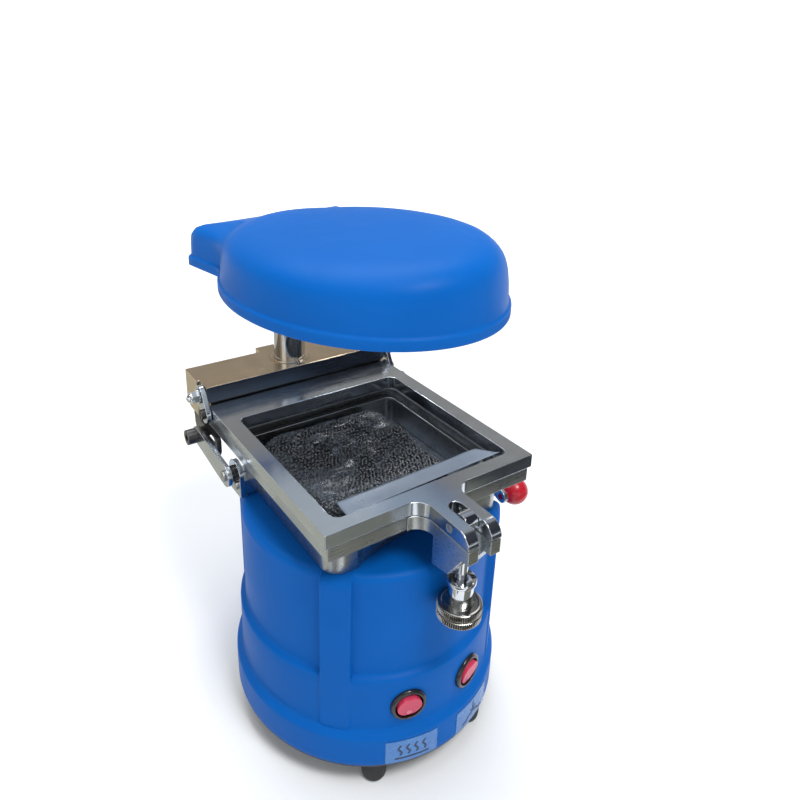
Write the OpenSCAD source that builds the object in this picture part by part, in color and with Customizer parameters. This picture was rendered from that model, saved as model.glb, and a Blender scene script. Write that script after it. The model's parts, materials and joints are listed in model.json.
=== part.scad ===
// Bench vacuum former: round housing with motor and vacuum table,
// clamped square frames on a sliding carriage, swivelling heater hood.
// Origin on the bench under the housing axis, front of the object faces -Y.

/* [Housing] */
// radius of the upper panels
panel_r = 76.8; // [70:0.5:85]
// radius of ribs and switch band
band_r = 80.2; // [72:0.5:88]
// radius of the foot band
foot_band_r = 84.3; // [76:0.5:92]
// height of the feet
foot_h = 15; // [10:1:30]
// wall thickness of the housing
wall = 3.2; // [2:0.2:5]
// half angle between the two switches, degrees
switch_az = 15.3; // [10:0.5:25]

/* [Frames] */
// half width of the square opening
open_h = 58; // [50:1:65]
// half width of the upper frame
up_h = 68.4; // [60:0.2:80]
// half width of the lower frame
low_h = 66.5; // [60:0.2:78]
// thickness of each frame
frame_t = 8.2; // [5:0.1:12]
// half width of the clamp neck
neck_h = 10.8; // [8:0.2:14]
// width of the clamp slot
slot_w = 7.8; // [6:0.1:10]

/* [Post and carriage] */
// distance of the post behind the housing axis
post_y = 102; // [95:1:120]
// post radius
post_r = 11; // [8:0.5:14]
// half width of the carriage
car_h = 68.3; // [60:0.1:80]

/* [Clamp] */
// distance of the clamp screw in front of the housing axis
bolt_y = 89.5; // [85:0.5:100]
// knob radius
knob_r = 12.1; // [9:0.5:14]

/* [Hood] */
// half width of the hood
hood_a = 76.4; // [70:1:95]
// half length of the hood
hood_b = 95.2; // [80:0.1:120]
// distance from the post to the middle of the hood
hood_l = 80.9; // [60:0.1:100]
// turn of the hood about the post, degrees
hood_turn = 3.7; // [0:0.1:20]

/* [Hidden] */
$fn = 64;
zg = 144;          // top of the housing
z_low = 166;       // underside of the lower frame
z_up = 174.8;      // underside of the upper frame
z_top = z_up + frame_t;
yf = -67.2;        // front edge of the frames
yb = 83.3;         // rear edge of the upper frame
hy = 88.5;         // hinge axis of the upper frame
hz = 188.5;
px = 40;           // lift pivot, behind the axis
pz = 158;
arm = 47.2;
ang0 = 4.9;
qy = px + arm*cos(ang0);
qz = pz + arm*sin(ang0);
ey = -34.5;        // handle end of the lever
ez = 129.8;
bz = 179;          // pivot of the clamp bolt
hood_z = 267;
switch_z = 56.5;    // height of the switches
rib_r = 81.2;      // radius of the four ribs
foot_ring = 75;    // feet stand on this radius
foot_az = [-28.4,28.4,-119,119];

module rrect(x0, y0, x1, y1, r) {
  translate([x0+r, y0]) square([x1-x0-2*r, y1-y0]);
  translate([x0, y0+r]) square([x1-x0, y1-y0-2*r]);
  for (x = [x0+r, x1-r], y = [y0+r, y1-r]) translate([x, y]) circle(r);
}
// flat bar outline with round ends, between two points
module bar2(p, q, rp, rq, n = 20) {
  b = atan2(q[1]-p[1], q[0]-p[0]);
  s = acos((rp-rq)/norm(q-p));
  polygon(concat(
    [for (k = [0:n]) p + rp*[cos(b+s+(360-2*s)*k/n), sin(b+s+(360-2*s)*k/n)]],
    [for (k = [0:n]) q + rq*[cos(b-s+2*s*k/n), sin(b-s+2*s*k/n)]]));
}
// puts a (y, z) outline across x, from x0, t thick
module acrossx(x0, t) translate([x0, 0, 0]) rotate([90, 0, 90]) linear_extrude(t) children();
module xcyl(x0, y, z, r, l, f = 64) translate([x0, y, z]) rotate([0, 90, 0]) cylinder(r = r, h = l, $fn = f);
// radial placement, az measured from the front towards +X
module radial(az, z) rotate([0, 0, az]) translate([0, 0, z]) rotate([90, 0, 0]) children();

// ---------- housing ----------
module housing_outer() {
  rotate_extrude($fn = 128) polygon([[0,foot_h+2],[foot_band_r,foot_h+2],[foot_band_r,36.4],[foot_band_r-0.35,37.3],[foot_band_r-1.1,38],
    [band_r+0.7,40.2],[band_r+0.15,40.9],[band_r,41.8],[band_r,75.2],[band_r-0.3,76],[band_r-0.9,76.6],[panel_r+0.6,77.7],[panel_r+0.15,78.2],[panel_r,78.9],
    [panel_r,140.2],[panel_r-0.4,141.6],[panel_r-1.3,142.8],[panel_r-2.6,143.6],[panel_r-4,zg],[0,zg]]);
  for (a = [45:90:315]) rotate([0, 0, a]) intersection() {
    rotate_extrude($fn = 128) polygon([[70,39],[rib_r-1.4,39],[rib_r-0.4,39.9],[rib_r,41.4],[rib_r,139.6],[rib_r-0.5,141.3],[rib_r-1.7,142.7],[rib_r-3.6,143.6],[rib_r-5.6,zg-0.1],[70,zg-0.1]]);
    translate([-9.2, -90, 30]) cube([18.4, 30, 120]);
  }
}
module drum_housing() color([0.05,0.3,0.7]) difference() {
  housing_outer();
  rotate_extrude($fn = 128) polygon([[0,foot_h+1],[foot_band_r-wall,foot_h+1],[foot_band_r-wall,35],[band_r-wall,39.6],
    [band_r-wall,73.6],[panel_r-wall,76],[panel_r-wall,zg-3.2],[0,zg-3.2]]);
  translate([0,0,zg-6]) cylinder(r = 26, h = 10);
  for (s = [-1,1]) radial(s*switch_az, switch_z) translate([0,0,60]) cylinder(r = 9.25, h = 30);
  for (s = [-1,1]) radial(s*switch_az, switch_z) translate([0,0,79.3]) cylinder(r = 10.9, h = 6);
  radial(90, 59) translate([-14,-10.5,60]) cube([28, 21, 30]);
  radial(90, 59) translate([-17.2,-12.7,78.2]) cube([34.4, 25.4, 10]);
  radial(115, 59) translate([0,0,60]) cylinder(r = 6.1, h = 30);
  radial(115, 59) translate([0,0,79.2]) cylinder(r = 7.9, h = 10);
  for (x = [-12,12]) translate([x,70,30]) rotate([-90,0,0]) { cylinder(r = 2.1, h = 20); cylinder(r = 4.2, h = 11); }
  for (a = [-14:7:14]) rotate([0,0,a+90]) translate([-1.5,-90,95]) cube([3, 30, 30]);
  for (a = [-6,0,6], b = [151,209]) rotate([0,0,a+b]) translate([-1.5,-90,95]) cube([3, 30, 30]);
}
module base_plate() color([0.3,0.3,0.32]) difference() {
  rotate_extrude($fn = 128) polygon([[0,foot_h],[foot_band_r-1.2,foot_h],[foot_band_r-0.4,foot_h+0.8],[foot_band_r-0.4,foot_h+2],[0,foot_h+2]]);
  for (a = [0:30:330]) rotate([0,0,a]) translate([30,-2,foot_h-1]) cube([30, 4, 5]);
  translate([0,0,foot_h-1]) cylinder(r = 8, h = 5);
  for (a = foot_az) rotate([0,0,a]) translate([0,-foot_ring,10]) cylinder(r = 2.1, h = 13);
}
module rubber_feet() color([0.07,0.07,0.07]) for (a = foot_az) rotate([0,0,a]) translate([0,-foot_ring,0])
  rotate_extrude($fn = 48) polygon([[4.2,0],[5.8,0],[6.5,0.5],[7,1.4],[7.3,2.8],[7.5,5],[7.5,foot_h],[2.1,foot_h],[2.1,5],[4.2,5]]);
module foot_screws() color([0.75,0.75,0.77]) for (a = foot_az) rotate([0,0,a]) translate([0,-foot_ring,0]) {
  translate([0,0,4.9]) cylinder(r = 2.05, h = foot_h+1.9);
  translate([0,0,2.2]) cylinder(r = 4.1, h = 2.8);
}
// column at the back that carries the post
module rear_pillar() color([0.05,0.3,0.7]) difference() {
  translate([0,0,foot_h+0.2]) linear_extrude(125.8-foot_h) difference() { rrect(-24, 60, 24, 122, 8); circle(foot_band_r+0.02, $fn = 128); }
  translate([0,post_y,26]) cylinder(r = post_r+0.02, h = 110);
  for (x = [-12,12]) translate([x,76,30]) rotate([-90,0,0]) cylinder(r = 2.1, h = 20);
}
module pillar_screws() color([0.75,0.75,0.77]) for (x = [-12,12]) translate([x,0,30]) rotate([-90,0,0]) {
  translate([0,0,80.9]) cylinder(r = 2.05, h = 14.5);
  translate([0,0,78.4]) cylinder(r = 3.6, h = 2.58);
}

// ---------- table ----------
module vacuum_table() color([0.78,0.78,0.8]) difference() {
  union() {
    difference() {
      translate([0,0,zg]) linear_extrude(165.6-zg) rrect(-58.5, -55.5, 58.5, 61, 10);
      translate([0,-151.3,zg-1]) cylinder(r = 104.8, h = 30, $fn = 128);
    }
    translate([0,0,165.5]) linear_extrude(4.5) rrect(-56.4, -54.6, 56.4, 56.4, 7);
  }
  translate([0,0,152]) linear_extrude(20) rrect(-53.8, -43.3, 53.8, 53.8, 5);
  translate([0,0,147]) linear_extrude(20) rrect(-44, -38, 44, 44, 5);
  translate([0,0,zg-1]) cylinder(r = 16, h = 10);
  for (s = [-1,1], y = [36,44]) xcyl(s > 0 ? 53.9 : -59.5, y, 151.5, 1.5, 5.6, 32);
}
module perforated_plate() color([0.85,0.85,0.87]) difference() {
  translate([0,0,152]) linear_extrude(1.2) rrect(-53.5, -43, 53.5, 53.5, 4.8);
  for (x = [-40:10:40], y = [-34:10:36]) translate([x,y,151]) cylinder(r = 1.6, h = 3, $fn = 24);
}
module table_seal() color([0.1,0.1,0.1]) translate([0,0,170]) linear_extrude(0.9) difference() {
  rrect(-56.2, -54.4, 56.2, 56.2, 6.8);
  rrect(-54.2, -52.2, 54.2, 54.2, 5.4);
}
// plastic bag of steel beads lying in the well, with its flat header
module bead_bag() color([0.15,0.16,0.18]) {
  hull() {
    translate([0,2,153.5]) linear_extrude(1) rrect(-50, -44, 40, 48, 12);
    translate([0,2,160]) linear_extrude(1) rrect(-52.5, -44.5, 42, 50, 10);
    translate([0,2,166]) linear_extrude(1) rrect(-51, -44.5, 40, 50, 10);
    translate([0,-20,170]) linear_extrude(1) rrect(-44, -22, 32, 60, 14);
  }
  acrossx(-50, 90) polygon([[-42.4,156],[-42.4,171.4],[-54,171.4],[-56,172.6],[-56.4,174.6],[-54,176.4],[-47,176.8],[-36,174.6],[-20,171],[-20,158]]);
  acrossx(-50, 106) polygon([[-38,174],[-45,179.4],[-56.8,181.9],[-57,181.1],[-46,178.6],[-40,173.4]]);
}

// ---------- inside the housing ----------
module fan_casing() color([0.55,0.56,0.58]) difference() {
  translate([0,0,104]) cylinder(r = 62, h = 28);
  translate([0,0,106]) cylinder(r = 60, h = 24);
  translate([0,0,120]) cylinder(r = 20, h = 20);
  for (a = [0:60:300]) rotate([0,0,a]) translate([36,0,100]) cylinder(r = 5, h = 5);
  translate([0,0,100]) cylinder(r = 7, h = 8);
}
module vacuum_motor() color([0.35,0.35,0.37]) {
  difference() {
    translate([0,0,42]) cylinder(r = 44, h = 61.9);
    for (a = [0:30:330]) rotate([0,0,a]) translate([30,-2.5,41]) cube([20, 5, 22]);
  }
  translate([0,0,36]) cylinder(r = 14, h = 8);
  translate([0,0,100]) cylinder(r = 4, h = 22);
}
module impeller() color([0.8,0.8,0.82]) difference() {
  union() {
    translate([0,0,110]) cylinder(r = 56, h = 1.5);
    translate([0,0,110]) cylinder(r = 9, h = 14);
    for (a = [0:30:330]) rotate([0,0,a]) translate([10,-0.8,111]) cube([44, 1.6, 12]);
  }
  translate([0,0,105]) cylinder(r = 4.05, h = 30);
}
module motor_ring() color([0.12,0.12,0.12]) difference() {
  translate([0,0,86]) cylinder(r = panel_r-wall-0.05, h = 5);
  translate([0,0,85]) cylinder(r = 44.05, h = 7);
  for (a = [0:30:330]) rotate([0,0,a]) translate([59,0,85]) cylinder(r = 6, h = 8);
}
module air_duct() color([0.12,0.12,0.12]) difference() {
  union() {
    translate([0,0,132.05]) cylinder(r = 24, h = 8.6);
    translate([0,0,132.05]) cylinder(r = 15.9, h = 14.5);
  }
  translate([0,0,130]) cylinder(r = 13, h = 20);
}
module wiring_block() color([0.9,0.9,0.85]) {
  difference() {
    translate([-15,-60,foot_h+2.1]) cube([30, 14, 16]);
    for (x = [-10,0,10]) translate([x,-53,27]) cylinder(r = 2, h = 10);
  }
}

// ---------- post ----------
module post() color([0.85,0.85,0.87]) {
  translate([0,post_y,26.1]) cylinder(r = post_r, h = 261);
}
module post_base_clamp() color([0.2,0.2,0.21]) difference() {
  translate([0,post_y,126.1]) cylinder(r = 19, h = 12);
  translate([0,post_y,125]) cylinder(r = post_r+0.01, h = 20);
  translate([0,post_y,132]) rotate([-90,0,0]) cylinder(r = 2.5, h = 30);
}
module post_collar() color([0.75,0.75,0.77]) difference() {
  translate([0,post_y,268]) cylinder(r = 16, h = 4);
  translate([0,post_y,267]) cylinder(r = post_r+0.01, h = 6);
}

// ---------- lift brackets ----------
module bracket(s) difference() {
  union() {
    acrossx(s > 0 ? 67 : -70, 3) { translate([px,pz]) circle(8.5); translate([px-8.5, 144.3]) square([17, pz-144.3]); }
    translate([s > 0 ? 58.5 : -67.5, 32, 146]) cube([9, 16, 10]);
  }
  xcyl(s > 0 ? 60 : -75, px, pz, 2.52, 15);
  for (y = [36,44]) xcyl(s > 0 ? 57 : -72, y, 151.5, 1.5, 15, 32);
}
module bracket_left() color([0.82,0.82,0.84]) bracket(-1);
module bracket_right() color([0.82,0.82,0.84]) bracket(1);
module bracket_screws() color([0.6,0.6,0.62]) for (s = [-1,1], y = [36,44]) {
  xcyl(s > 0 ? 54 : -70, y, 151.5, 1.48, 16, 32);
  xcyl(s > 0 ? 70 : -71.6, y, 151.5, 2.6, 1.6, 32);
}
module pivot_screw_left() color([0.7,0.7,0.72]) {
  xcyl(-76.7, px, pz, 2.5, 9.7);
  difference() { xcyl(-77.9, px, pz, 3.4, 1.3); translate([-78.4,px-0.4,pz-2.6]) cube([0.9,0.8,5.2]); }
}
module pivot_screw_right() color([0.7,0.7,0.72]) {
  xcyl(67, px, pz, 2.5, 16.2);
  difference() { xcyl(83.1, px, pz, 3.4, 1.3); translate([84,px-0.4,pz-2.6]) cube([0.9,0.8,5.2]); }
}
module pivot_spacers() color([0.06,0.06,0.06]) {
  difference() { xcyl(-73.4, px, pz, 4.9, 3.35); xcyl(-80, px, pz, 2.53, 15); }
  difference() { xcyl(70.05, px, pz, 4.9, 9.85); xcyl(65, px, pz, 2.53, 20); }
}

// ---------- switches, labels, inlet ----------
module bezel(s) radial(s*switch_az, switch_z) difference() {
  union() {
    translate([0,0,66]) cylinder(r = 9.2, h = 14);
    rotate_extrude($fn = 72) polygon([[0,79.35],[10.6,79.35],[10.6,80.9],[10.3,81.6],[9.6,82.1],[8.9,82.2],[0,82.2]]);
  }
  translate([0,0,72]) cylinder(r = 8.4, h = 12);
}
module switch_bezel_heating() color([0.05,0.05,0.05]) bezel(-1);
module switch_bezel_molding() color([0.05,0.05,0.05]) bezel(1);
module rocker(s) radial(s*switch_az, switch_z) difference() {
  intersection() {
    translate([0,0,73]) cylinder(r = 7.3, h = 14);
    translate([-8,0,0]) rotate([90,0,90]) linear_extrude(16) polygon([[-3.8,75.4],[3.8,75.4],[7.3,79.2],[6.3,83.9],[-1,82.9],[-6.9,81.6],[-7.3,78.9]]);
  }
  translate([-7,0,78.2]) rotate([0,90,0]) cylinder(r = 1.2, h = 14, $fn = 32);
}
module rocker_heating() color([0.8,0.05,0.1]) rocker(-1);
module rocker_molding() color([0.8,0.05,0.1]) rocker(1);
module label(s) translate([0,0,foot_h+2.8]) intersection() {
  rotate_extrude($fn = 180) translate([foot_band_r+0.02,0]) square([0.3, 16.4]);
  rotate([0,0,s > 0 ? 18 : -13.9]) linear_extrude(18) polygon([[0,0],[-110*sin(10.9),-110*cos(10.9)],[110*sin(10.9),-110*cos(10.9)]]);
}
module label_heating() color([0.7,0.8,0.9]) label(-1);
module label_molding() color([0.7,0.8,0.9]) label(1);
module power_inlet() color([0.06,0.06,0.06]) radial(90, 59) difference() {
  union() {
    translate([-13.8,-10.2,62]) cube([27.6, 20.4, 19]);
    translate([-17,-12.5,78.25]) cube([34, 25, 3.6]);
  }
  translate([-10.5,-7.5,66]) cube([21, 15, 20]);
}
module fuse_holder() color([0.06,0.06,0.06]) radial(115, 59) {
  translate([0,0,60]) cylinder(r = 6, h = 20.5);
  difference() { translate([0,0,79.3]) cylinder(r = 7.6, h = 5.4); translate([-5,-0.7,83.3]) cube([10,1.4,3]); }
}

// ---------- carriage and lower frame ----------
module cheek(s) difference() {
  acrossx(s > 0 ? 67 : -70, 3) polygon([[97,195],[119,195],[119,173],[117,170.6],[112,169],[97,169]]);
  for (y = [102,112]) xcyl(s > 0 ? 66 : -69.2, y, 171.4, 1.52, 3.2, 32);
}
// dark plate inside each cheek, with the slot that the lift pin runs in
module slot_plates() color([0.12,0.12,0.13]) for (s = [-1,1]) difference() {
  union() {
    acrossx(s > 0 ? 67 : -70, 3) polygon([[106,168.95],[106,161],[103,156],[98,153.6],[93,153],[72,153],[68,154.6],[66.4,158],[66.4,165.2],[67.4,167],[69,167.5],[96,167.5],[97,168.95]]);
    translate([s > 0 ? 64 : -67.5,98,161]) cube([3.5,8,7.95]);
    translate([s > 0 ? 64 : -66.97,98,161]) cube([2.97,18,13.1]);
    for (y = [102,112]) xcyl(s > 0 ? 66 : -69, y, 171.4, 1.5, 3, 32);
  }
  acrossx(s > 0 ? 66 : -71, 5) { translate([73.8,162.1]) circle(3.6); translate([86.8,162.1]) circle(3.6); translate([73.8,158.5]) square([13, 7.2]); }
}
module carriage_block() color([0.62,0.58,0.5]) difference() {
  union() {
    translate([-car_h,84,184]) cube([2*car_h, 35, 11]);
    translate([-66,84.2,z_low+frame_t]) cube([132, 34.8, 10]);
    translate([-15,118,184]) cube([30, 9, 11]);
    translate([-44,112,z_low+frame_t]) cube([88, 11, 184.1-z_low-frame_t]);
    cheek(1); cheek(-1);
  }
  translate([0,post_y,160]) cylinder(r = 14, h = 60);
  for (s = [-1,1]) xcyl(s > 0 ? 58 : -70, hy, hz, 2.5, 12);
  for (x = [-32,32]) translate([x,114,170]) cylinder(r = 2.1, h = 20);
}
module slide_bush() color([0.75,0.62,0.35]) difference() {
  union() {
    translate([0,post_y,z_low]) cylinder(r = 13.98, h = 29);
    translate([0,post_y,194.9]) cylinder(r = 12.6, h = 0.7);
  }
  translate([0,post_y,160]) cylinder(r = post_r+0.05, h = 50);
}
module neck2(h) {
  translate([-h,-104.2]) square([2*h, 40]);
  for (s = [-1,1]) difference() {
    translate([s > 0 ? h : -h-9, -76.2]) square([9, 9.5]);
    translate([s*(h+9), -76.2]) circle(9);
  }
}
module lower_frame() color([0.8,0.8,0.82]) difference() {
  union() {
    translate([0,0,z_low]) linear_extrude(frame_t) {
      translate([-low_h,yf+0.8]) square([2*low_h, yb+12-yf]);
      translate([-46,90]) square([92, 36]);
    }
    translate([0,0,z_low]) linear_extrude(frame_t) neck2(neck_h-0.3);
    acrossx(-neck_h+0.3, 2*neck_h-0.6) polygon([[-77,z_low+4],[-77,149.4],[-79,149],[-90,151],[-104,172.4],[-104.2,z_low+frame_t],[-77,z_low+frame_t]]);
  }
  translate([0,0,z_low-1]) linear_extrude(frame_t+2) rrect(-open_h, -open_h, open_h, open_h, 5);
  translate([0,0,z_low+frame_t-1.2]) linear_extrude(3) difference() { rrect(-62.4, -62.4, 62.4, 62.4, 7); rrect(-59.6, -59.6, 59.6, 59.6, 6); }
  translate([-slot_w/2,-120,140]) cube([slot_w, 120-81.4, 60]);
  translate([0,-81.4,140]) cylinder(r = slot_w/2, h = 60);
  translate([0,post_y,160]) cylinder(r = 14, h = 60);
  for (x = [-32,32]) translate([x,114,160]) { cylinder(r = 2.1, h = 30); cylinder(r = 4, h = 9); }
}
module lower_seal() color([0.08,0.08,0.08]) translate([0,0,z_low+frame_t-1.18]) linear_extrude(1.35) difference() {
  rrect(-62.35, -62.35, 62.35, 62.35, 6.95);
  rrect(-59.65, -59.65, 59.65, 59.65, 6.05);
}
module carriage_screws() color([0.6,0.6,0.62]) for (x = [-32,32]) translate([x,114,0]) {
  translate([0,0,168]) cylinder(r = 2.05, h = 21.5);
  difference() { translate([0,0,166.2]) cylinder(r = 3.8, h = 2.8); translate([0,0,165]) cylinder(r = 2, h = 2.6, $fn = 6); }
}
module hinge_bolts() color([0.85,0.85,0.86]) for (s = [-1,1]) {
  xcyl(s > 0 ? 59 : -74, hy, hz, 2.48, 15);
  xcyl(s > 0 ? 72.25 : -73.45, hy, hz, 5, 1.2);
  xcyl(s > 0 ? 73.5 : -77, hy, hz, 4.1, 3.5, 6);
  translate([s*77,hy,hz]) sphere(r = 3.3, $fn = 40);
}

// ---------- upper frame ----------
module upper_frame() color([0.8,0.8,0.82]) difference() {
  union() {
    translate([0,0,z_up]) linear_extrude(frame_t) {
      translate([-up_h,yf]) square([2*up_h, yb-yf]);
      intersection() { neck2(neck_h); translate([-40,-96]) square([80, 60]); }
    }
    intersection() {
      xcyl(-neck_h, -96, z_up, frame_t, 2*neck_h);
      translate([-neck_h,-105,z_up]) cube([2*neck_h, 9.01, 10]);
    }
  }
  translate([0,0,z_up-1]) linear_extrude(frame_t+2) rrect(-open_h, -open_h, open_h, open_h, 5);
  translate([0,0,z_up-1]) linear_extrude(2.2) difference() { rrect(-62.4, -62.4, 62.4, 62.4, 7); rrect(-59.6, -59.6, 59.6, 59.6, 6); }
  translate([-slot_w/2,-120,140]) cube([slot_w, 120-81.4, 60]);
  translate([0,-81.4,140]) cylinder(r = slot_w/2, h = 60);
  xcyl(-12, -bolt_y, bz, 2, 24);
  for (s = [-1,1]) xcyl(s > 0 ? 60 : -70, 82, 178.5, 1.6, 10, 32);
}
module upper_seal() color([0.08,0.08,0.08]) translate([0,0,z_up+0.02]) linear_extrude(1.15) difference() {
  rrect(-62.35, -62.35, 62.35, 62.35, 6.95);
  rrect(-59.65, -59.65, 59.65, 59.65, 6.05);
}
module hinge_ears() color([0.85,0.85,0.87]) for (s = [-1,1]) difference() {
  acrossx(s > 0 ? 69 : -72, 3) bar2([hy,hz], [82,178.5], 7, 6.2);
  xcyl(s > 0 ? 60 : -75, hy, hz, 2.55, 15);
  xcyl(s > 0 ? 60 : -75, 82, 178.5, 1.6, 15, 32);
}
module ear_screws() color([0.7,0.7,0.72]) for (s = [-1,1]) {
  xcyl(s > 0 ? 60.2 : -72, 82, 178.5, 1.58, 11.8, 32);
  difference() { xcyl(s > 0 ? 72 : -74.2, 82, 178.5, 3.4, 2.2); translate([s > 0 ? 73.2 : -75.2,81.6,176]) cube([2,0.8,5]); }
  difference() { xcyl(s > 0 ? up_h : -69, 82, 178.5, 5, 0.6); xcyl(s > 0 ? 68 : -70, 82, 178.5, 1.65, 2, 32); }
}
module cross_pin() color([0.75,0.75,0.77]) xcyl(-neck_h-0.1, -bolt_y, bz, 1.98, 2*neck_h+0.2);

// ---------- clamp ----------
module swing_bolt() color([0.88,0.88,0.9]) difference() {
  union() {
    xcyl(-slot_w/2+0.3, -bolt_y, bz, 5.2, slot_w-0.6);
    translate([0,-bolt_y,119.4]) cylinder(r = 2.95, h = bz-119.4);
  }
  xcyl(-10, -bolt_y, bz, 2.03, 20);
}
module clamp_sleeve() color([0.88,0.88,0.9]) difference() {
  union() {
    translate([0,-bolt_y,129.1]) cylinder(r = 6.7, h = 14.9);
    translate([0,-bolt_y,141.4]) cylinder(r = 7.9, h = 2.6);
  }
  translate([0,-bolt_y,120]) cylinder(r = 3, h = 30);
}
module clamp_knob() color([0.8,0.8,0.82]) difference() {
  translate([0,-bolt_y,0]) rotate_extrude($fn = 72) polygon([[3,119.6],[knob_r-1.1,119.6],[knob_r,120.5],[knob_r,123.3],[knob_r-0.9,123.8],
    [knob_r-0.9,124.4],[knob_r,124.9],[knob_r,128.1],[knob_r-1.1,129],[3,129]]);
}

// ---------- lift lever and link ----------
module lift_lever() color([0.82,0.82,0.84]) difference() {
  acrossx(80, 3) { bar2([px,pz], [qy,qz], 7, 6); bar2([px,pz], [ey,ez], 7, 4.2); }
  xcyl(78, px, pz, 2.55, 8);
  xcyl(78, qy, qz, 2.5, 8);
  xcyl(78, ey, ez, 2, 8, 32);
}
module lever_pin() color([0.25,0.25,0.27]) {
  xcyl(66.9, qy, qz, 2.48, 16.1);
  xcyl(70.3, qy, qz, 4.6, 9.7);
  difference() { xcyl(83, qy, qz, 5, 6.2); xcyl(86.4, qy, qz, 2.4, 4, 6); }
}
module ball_knob() color([0.85,0.02,0.06]) {
  translate([91.8,ey-0.3,ez+0.6]) sphere(r = 8.9, $fn = 72);
  xcyl(80, ey, ez, 1.98, 6, 32);
  xcyl(83, ey, ez, 3.6, 2.4);
}
module left_link() color([0.82,0.82,0.84]) difference() {
  acrossx(-76.5, 3) bar2([px,pz], [qy,qz], 7, 6);
  xcyl(-78, px, pz, 2.55, 8);
  xcyl(-78, qy, qz, 2.5, 8);
}
module link_pin() color([0.25,0.25,0.27]) {
  xcyl(-76.5, qy, qz, 2.48, 9.6);
  xcyl(-73.5, qy, qz, 4.6, 3.2);
  difference() { xcyl(-82.7, qy, qz, 5, 6.2); xcyl(-83.4, qy, qz, 2.4, 4, 6); }
}

// ---------- hood ----------
// oval of the hood, shrunk by i, as an n-sided outline
function oval(i, n = 96) = [for (k = [0:n-1]) [(hood_a-i)*cos(360*k/n), -hood_l + (hood_b-i)*sin(360*k/n)]];
module oval2(i) polygon(oval(i));
function tail_half(i, r = 11) = concat(
  [[51.5-i, -60], [62-i, 26-r-4]],
  [for (k = [0:8]) [62-r + (r-i)*cos(90*k/8), 26-r + (r-i)*sin(90*k/8)]]);
module tail2(i) polygon(concat(tail_half(i), [for (k = [10:-1:0]) [-tail_half(i)[k][0], tail_half(i)[k][1]]]));
module at_post() translate([0,post_y,0]) rotate([0,0,hood_turn]) children();
module slab(z, h = 0.4) translate([0,0,z]) linear_extrude(h) children();
module hood_shell() color([0.05,0.35,0.8]) at_post() difference() {
  union() {
    slab(hood_z, 6.6) oval2(0);
    slab(hood_z, 6.6) tail2(0);
    hull() { slab(273) oval2(1.6); slab(284) oval2(2.6); slab(290) oval2(4.4); slab(295) oval2(8); slab(299) oval2(13.5); slab(302) oval2(22); slab(303.8) oval2(36); slab(304.4) oval2(56); }
    hull() { slab(273) tail2(1.6); slab(284) tail2(2.6); slab(288.6) tail2(5); slab(291.6) tail2(9); slab(292.8) tail2(15); }
  }
  for (x = [-27,27], y = [-17,4]) slab(286, 6) translate([x,y]) circle(1.8, $fn = 32);
  hood_room();
}
module hood_room() difference() {
  union() {
  hull() { slab(266) oval2(4.2); slab(284) oval2(5.6); slab(293) oval2(10.5); slab(299.6) oval2(24); slab(301.2) oval2(40); }
  hull() { slab(266) tail2(4.2); slab(284) tail2(5.6); slab(289.4) tail2(12); }
  }
  for (x = [-27,27], y = [-17,4]) slab(288.1, 30) translate([x,y]) circle(4.2, $fn = 32);
  for (x = [-30,30], y = [-52,-112]) slab(290.2, 30) translate([x,y-hood_l+78]) circle(3, $fn = 32);
}
module hood_hub() color([0.7,0.7,0.72]) at_post() difference() {
  union() {
    slab(272.1, 16) circle(17);
    slab(284, 4.1) rrect(-34, -24, 34, 12, 6);
  }
  slab(270, 22) circle(post_r+0.05);
  for (x = [-27,27], y = [-17,4]) slab(280, 12) translate([x,y]) circle(1.8, $fn = 32);
}
module hub_screws() color([0.6,0.6,0.62]) at_post() for (x = [-27,27], y = [-17,4]) {
  translate([x,y,281.8]) cylinder(r = 3, h = 2.15);
  translate([x,y,283]) cylinder(r = 1.78, h = 6);
}
module heater_reflector() color([0.9,0.9,0.9]) at_post() translate([0,-hood_l-4,0]) difference() {
  slab(289.2, 1) circle(64);
  slab(288, 4) translate([0,30]) circle(4);
}
module heater_dish() color([0.85,0.85,0.83]) at_post() translate([0,-hood_l-4,0]) difference() {
  slab(277, 12.2) circle(58);
  slab(276, 10) circle(54);
  slab(280, 12) translate([0,30]) circle(4);
}
module heater_coil() color([0.75,0.45,0.2]) at_post() translate([0,-hood_l-4,0]) {
  for (r = [12:10:42]) translate([0,0,281]) rotate_extrude($fn = 64) translate([r,0]) circle(2, $fn = 16);
  translate([0,-46,284.4]) rotate([-90,0,0]) cylinder(r = 1.6, h = 92, $fn = 16);
}
module heater_terminal() color([0.92,0.9,0.85]) at_post() translate([-8,-hood_l+24,290.2]) cube([16,12,7]);

drum_housing();
base_plate();
rubber_feet();
foot_screws();
rear_pillar();
pillar_screws();
vacuum_table();
perforated_plate();
table_seal();
bead_bag();
fan_casing();
vacuum_motor();
impeller();
motor_ring();
air_duct();
wiring_block();
post();
post_base_clamp();
post_collar();
bracket_left();
bracket_right();
bracket_screws();
pivot_screw_left();
pivot_screw_right();
pivot_spacers();
switch_bezel_heating();
switch_bezel_molding();
label_heating();
label_molding();
power_inlet();
fuse_holder();
carriage_block();
slot_plates();
slide_bush();
lower_frame();
lower_seal();
carriage_screws();
hinge_bolts();
upper_frame();
upper_seal();
hinge_ears();
ear_screws();
cross_pin();
swing_bolt();
clamp_sleeve();
clamp_knob();
lift_lever();
lever_pin();
ball_knob();
left_link();
link_pin();
hood_shell();
hood_hub();
hub_screws();
heater_reflector();
heater_dish();
heater_coil();
heater_terminal();
rocker_heating();
rocker_molding();
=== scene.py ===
import json
import math
import random

import bmesh
import bpy
import numpy as np
from mathutils import Matrix, Vector, noise


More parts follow.
